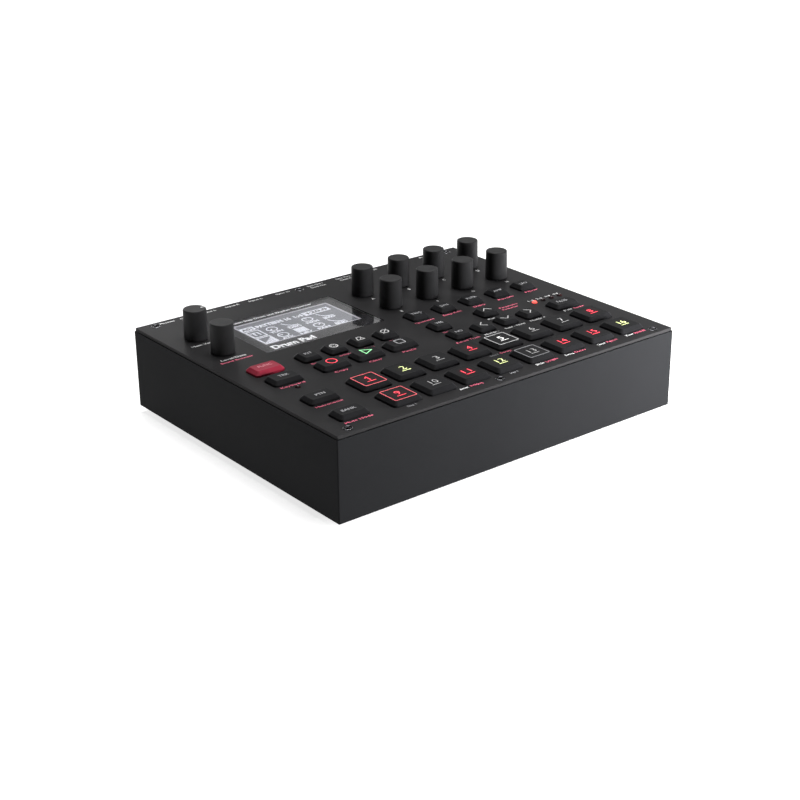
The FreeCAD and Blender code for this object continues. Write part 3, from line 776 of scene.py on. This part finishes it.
# ---- display ------------------------------------------------------------
def display():
    """Printed border, title words and lit drawing of the screen."""
    cx, cy, _ = top_centre("display_window")
    window_under = plane_up(0, 0, node_box("display_window")[0].z)
    glass_z = top_centre("display_module")[2]
    open_x, open_y, open_width, open_depth = MID_X - 37.3, MID_Y + 42.45, 60.2, 32.1

    # printed black border under the window, open over the screen
    mask = Print("window_mask", MASK_BLACK, CASE, window_under, 0.0, 0.08)
    mask.loop(rounded(cx, cy, 73.0, 48.8, 0.9),
              rounded(open_x, open_y, open_width, open_depth, 0.3))
    mask.build()

    # white words printed behind the window, above the border, brightened by a glow of painted
    # light
    title = Print("window_words", INK_WINDOW, CASE, window_under, 0.03, 0.0)
    title.text("Drum Pad", (MID_X - 67.6, MID_Y + 21.0), 4.6, 25.8, 0.30, "LEFT")
    title.text("Sixteen Step Drum and Rhythm Sequencer",
               (MID_X - 14.6, MID_Y + 61.9), 1.9, 53.0, 0.06, "RIGHT")
    title.build()

    # painted highlight: a pale glowing rim that stands for the lit edge of the glass
    rim = Print("screen_rim_painted_highlight", SCREEN_EDGE_HIGHLIGHT, CASE, plane_up(0, 0, glass_z), 0.04, 0.01)
    rim.loop(rounded(open_x, open_y, open_width + 0.8, open_depth + 0.8, 0.4),
             rounded(open_x, open_y, open_width - 2.4, open_depth - 2.4, 0.3))
    rim.build()

    # screen drawing: u to the right and v downwards (negative) from its rear left corner
    content = Matrix.Translation((MID_X - 66.6, MID_Y + 53.3, glass_z))
    content = content @ Matrix.Diagonal((0.99, 0.93, 1.0, 1.0))
    ink_height = 0.06
    lit = Print("screen_content", SCREEN_WHITE, CASE, content, ink_height, 0.01)
    raised = Matrix.Translation((0, 0, ink_height)) @ content
    dark = Print("screen_dark_words", SCREEN_DARK, CASE, raised, 0.03, 0.0)
    lit.bar(0, -5.2, 8.4, 0)
    dark.text("A01", (4.2, -2.6), 2.8, 6.4, 0.15)
    lit.text("PATTERN 16", (9.4, -2.6), 3.4, 21.6, 0.30, "LEFT")
    lit.text("1:4", (32.6, -2.6), 3.2, 5.6, 0.25, "LEFT")
    lit.bar(39.6, -5.2, 56.2, 0)
    dark.text("120.0", (47.9, -2.6), 2.9, 13.0, 0.15)

    # left column: track number, level bars
    lit.loop(rounded(4.2, -11.4, 8.4, 10.6, 0.6), rounded(4.2, -11.4, 6.8, 9.0, 0.4))
    lit.text("T1", (4.2, -11.4), 4.4, 4.8, 0.3)
    lit.loop(rounded(4.2, -22.6, 8.4, 10.2, 0.6), rounded(4.2, -22.6, 6.8, 8.6, 0.4))
    for i in range(5):
        x = 1.1 + 1.35 * i
        lit.bar(x, -26.8, x + 1.0, -25.2 + 1.2 * i)

    # two rows of four parameter cells
    names = (("TUN", "DEC", "NOI", "SWP"), ("ATK", "LEV", "PAN", "SND"))
    for row in range(2):
        y = -10.2 - 11.2 * row
        for column in range(4):
            x = 14.6 + 11.3 * column
            lit.text(names[row][column], (x, y - 5.0), 2.2, 7.8, 0.16)
            kind = (row * 4 + column) % 4
            if row == 1 and column == 1:
                lit.bar(x - 3.4, y - 3.0, x + 3.4, y + 3.4)
            elif kind in (0, 2):
                lit.ring(x, y, 3.3, 0.7, 24)
                angle = math.radians(225 - 60 * (row + column))
                lit.stroke((x + 0.6 * math.cos(angle), y + 0.6 * math.sin(angle)),
                           (x + 2.6 * math.cos(angle), y + 2.6 * math.sin(angle)), 0.8)
            else:
                curve = [(x - 3.4 + 0.85 * i, y - 2.8 + 6.0 * math.exp(-0.45 * i))
                         for i in range(9)]
                lit.lines(curve, 0.7)
                lit.stroke((x - 3.4, y - 3.0), (x + 3.6, y - 3.0), 0.5)
    lit.build()
    dark.build()


display()


# ---- lamps, screw rims and pointer --------------------------------------
def ring_points(mesh, radius, height, x, y, count):
    """A ring of vertices round a point of the panel."""
    return [mesh.verts.new(Vector((u, v, PANEL_Z + height)) * MM)
            for u, v in circle(x, y, radius, count)]


def turned(name, profile, x, y, material):
    """Closed solid of revolution from (radius, height above the panel) points."""
    count = 24
    mesh = bmesh.new()
    rings = []
    for radius, height in profile:
        if radius == 0:
            rings.append([mesh.verts.new(Vector((x, y, PANEL_Z + height)) * MM)] * count)
        else:
            rings.append(ring_points(mesh, radius, height, x, y, count))
    for lower, upper in zip(rings, rings[1:]):
        for k in range(count):
            n = (k + 1) % count
            corners = []
            for vert in (lower[k], lower[n], upper[n], upper[k]):
                if vert not in corners:
                    corners.append(vert)
            mesh.faces.new(corners)
    finish_mesh(name, mesh, material, CASE, smooth=True)


def closed_ring(name, section, x, y, material):
    """Ring swept from a closed cross-section of (radius, height) points."""
    count = 36
    mesh = bmesh.new()
    rings = [ring_points(mesh, radius, height, x, y, count) for radius, height in section]
    for i, lower in enumerate(rings):
        upper = rings[(i + 1) % len(rings)]
        for k in range(count):
            n = (k + 1) % count
            mesh.faces.new((lower[k], lower[n], upper[n], upper[k]))
    finish_mesh(name, mesh, material, CASE, smooth=True)


LAMP_RADIUS = 1.49
LAMP_SINK = 0.35
LAMP_ARC = [math.radians(15.0 * i) for i in range(6)]
LAMP_DOME = [(LAMP_RADIUS * math.cos(a), LAMP_RADIUS * math.sin(a) - LAMP_SINK) for a in LAMP_ARC]
LAMP_PROFILE = [(0, -LAMP_SINK), *LAMP_DOME, (0, LAMP_RADIUS - LAMP_SINK)]
SCREW_XS = (-97.7, -7.3, 97.7)
SCREW_YS = (-82.8, 82.8)
RIM_RADIUS, RIM_ROLL, RIM_SINK = 2.15, 0.28, 0.15


def lamps():
    """Domed lenses over the panel lamps; only the first page lamp is lit."""
    places = [("page_lamp_%d" % (i + 1), x, PAGE_LAMP_Y) for i, x in enumerate(PAGE_LAMP_XS)]
    for name, x, y in places + [("track_lamp", *TRACK_LAMP)]:
        lit = name == "page_lamp_1"
        colour = (0.95, 0.10, 0.08) if lit else (0.012, 0.004, 0.004)
        lens = lamp_lens(name + "_lens", colour, 1.4 if lit else 0.0)
        turned(name, LAMP_PROFILE, MID_X + x, MID_Y + y, lens)


def screw_rims():
    """Polished rolled rim round the socket of each panel screw."""
    angles = [math.radians(30.0 * i) for i in range(12)]
    section = [(RIM_RADIUS + RIM_ROLL * math.cos(a), RIM_ROLL * math.sin(a) - RIM_SINK)
               for a in angles]
    for i, x in enumerate(SCREW_XS):
        for j, y in enumerate(SCREW_YS):
            name = "screw_rim_%d_%d" % (i + 1, j + 1)
            closed_ring(name, section, MID_X + x, MID_Y + y, RIM_STEEL)


lamps()
screw_rims()


def volume_pointer():
    """White inlay in the pointer slot of the volume knob."""
    centre = plane_up(*top_centre("knob_main_volume"))
    along_slot = centre @ Matrix.Rotation(math.radians(-5.0), 4, "Z")
    mark = Print("volume_pointer", INK_WHITE, "knob_main_volume_body", along_slot, -0.04, 0.29)
    mark.polygon(rounded(4.55, 0.0, 2.4, 0.84, 0.2))
    mark.build()


volume_pointer()


# ---- camera, light and floor --------------------------------------------
def camera():
    """Camera to the front left of the case and above it, aimed beside its middle.

    Angles are in radians and distances in millimetres; the focal length and the
    sideways shift are in frame widths.
    """
    azimuth, elevation, roll = 0.694343, 0.404698, 0.002087
    distance, aside, above = 842.522, 18.6809, 2.4305
    focal_length, sideways_shift = 2.00268875, -0.05
    sensor = 36.0
    ahead = Vector((math.sin(azimuth) * math.cos(elevation),
                    math.cos(azimuth) * math.cos(elevation), -math.sin(elevation)))
    right = Vector((math.cos(azimuth), -math.sin(azimuth), 0))
    up = right.cross(ahead)
    across = math.cos(roll) * right + math.sin(roll) * up
    over = math.cos(roll) * up - math.sin(roll) * right
    aim = Vector((MID_X, MID_Y, case_low.z)) + aside * right + above * up
    data = bpy.data.cameras.new("camera")
    data.sensor_width = sensor
    data.lens = focal_length * sensor
    data.shift_x = sideways_shift
    data.clip_start = 0.01
    data.clip_end = 100.0
    made = bpy.data.objects.new("camera", data)
    turn = Matrix((across, over, -ahead)).transposed()
    made.matrix_world = Matrix.Translation((aim - ahead * distance) * MM) @ turn.to_4x4()
    bpy.context.scene.collection.objects.link(made)
    bpy.context.scene.camera = made


def area_light(name, place, aim, size, power, in_reflections=True):
    """Soft box at a place, turned to its aim; metres and watts."""
    data = bpy.data.lights.new(name, "AREA")
    data.shape = "RECTANGLE"
    data.size, data.size_y = size
    data.energy = power
    made = bpy.data.objects.new(name, data)
    made.visible_camera = False
    made.visible_glossy = in_reflections
    made.location = place
    made.rotation_euler = (Vector(aim) - Vector(place)).to_track_quat("-Z", "Y").to_euler()
    bpy.context.scene.collection.objects.link(made)


def floor():
    """White paper that gives off a little light of its own, more of it far away."""
    reach = 6.0
    near, far = 0.30, 1.20
    glow_near, glow_far = 1.75, 2.6
    mesh = bmesh.new()
    bmesh.ops.create_grid(mesh, x_segments=1, y_segments=1, size=reach)
    data = bpy.data.meshes.new("floor")
    mesh.to_mesh(data)
    mesh.free()
    s = Shader("floor_paper", specular=0.1)
    cloud = s.noise(3.0, 3.0)
    tone = s.mix(s.ramp(cloud, 0.0, 1.0), (0.42, 0.42, 0.42), (0.44, 0.44, 0.44))
    s.colour(tone)
    s.link(tone, s.main.inputs["Emission Color"])
    away = s.node("ShaderNodeVectorMath", operation="LENGTH")
    s.link(s.coords.outputs["Object"], away.inputs[0])
    strength = s.ramp(away.outputs["Value"], glow_near, glow_far, near, far)
    s.link(strength, s.main.inputs["Emission Strength"])
    s.roughness(s.ramp(cloud, 0.80, 0.90))
    data.materials.append(s.mat)
    made = bpy.data.objects.new("floor", data)
    bpy.context.scene.collection.objects.link(made)


def world():
    """Dim surroundings with a brighter patch, behind on the right, that the window mirrors."""
    dim, bright = 0.12, 1.0
    made = bpy.data.worlds.new("studio")
    made.use_nodes = True
    tree = made.node_tree
    back = tree.nodes["Background"]
    back.inputs["Color"].default_value = (1.0, 1.0, 1.0, 1.0)
    where = tree.nodes.new("ShaderNodeTexCoord")
    masks = []
    rightwards, rearwards = (0.768, -0.640, 0.25), (0.640, 0.768, 0.0)
    for axis, low, high in ((rightwards, -0.06, 0.14), (rearwards, 0.78, 0.90)):
        along = tree.nodes.new("ShaderNodeVectorMath")
        along.operation = "DOT_PRODUCT"
        along.inputs[1].default_value = axis
        tree.links.new(where.outputs["Generated"], along.inputs[0])
        soft = tree.nodes.new("ShaderNodeMapRange")
        soft.inputs["From Min"].default_value = low
        soft.inputs["From Max"].default_value = high
        tree.links.new(along.outputs["Value"], soft.inputs["Value"])
        masks.append(soft.outputs["Result"])
    patch = tree.nodes.new("ShaderNodeMath")
    patch.operation = "MULTIPLY"
    tree.links.new(masks[0], patch.inputs[0])
    tree.links.new(masks[1], patch.inputs[1])
    level = tree.nodes.new("ShaderNodeMapRange")
    level.inputs["To Min"].default_value = dim
    level.inputs["To Max"].default_value = bright
    tree.links.new(patch.outputs["Value"], level.inputs["Value"])
    tree.links.new(level.outputs["Result"], back.inputs["Strength"])
    bpy.context.scene.world = made


camera()
area_light("overhead", (0.2, 0.25, 1.6), (0, 0, 0), (0.9, 0.9), 38.0)
area_light("rear", (0.25, 1.6, 0.36), (-0.05, 0, 0), (1.1, 0.6), 7.0)
area_light("front_right", (0.25, -0.30, 0.07), (0.04, -0.08, 0.02), (0.14, 0.10), 6.8, False)
floor()
world()
bpy.context.scene.view_settings.view_transform = "Standard"
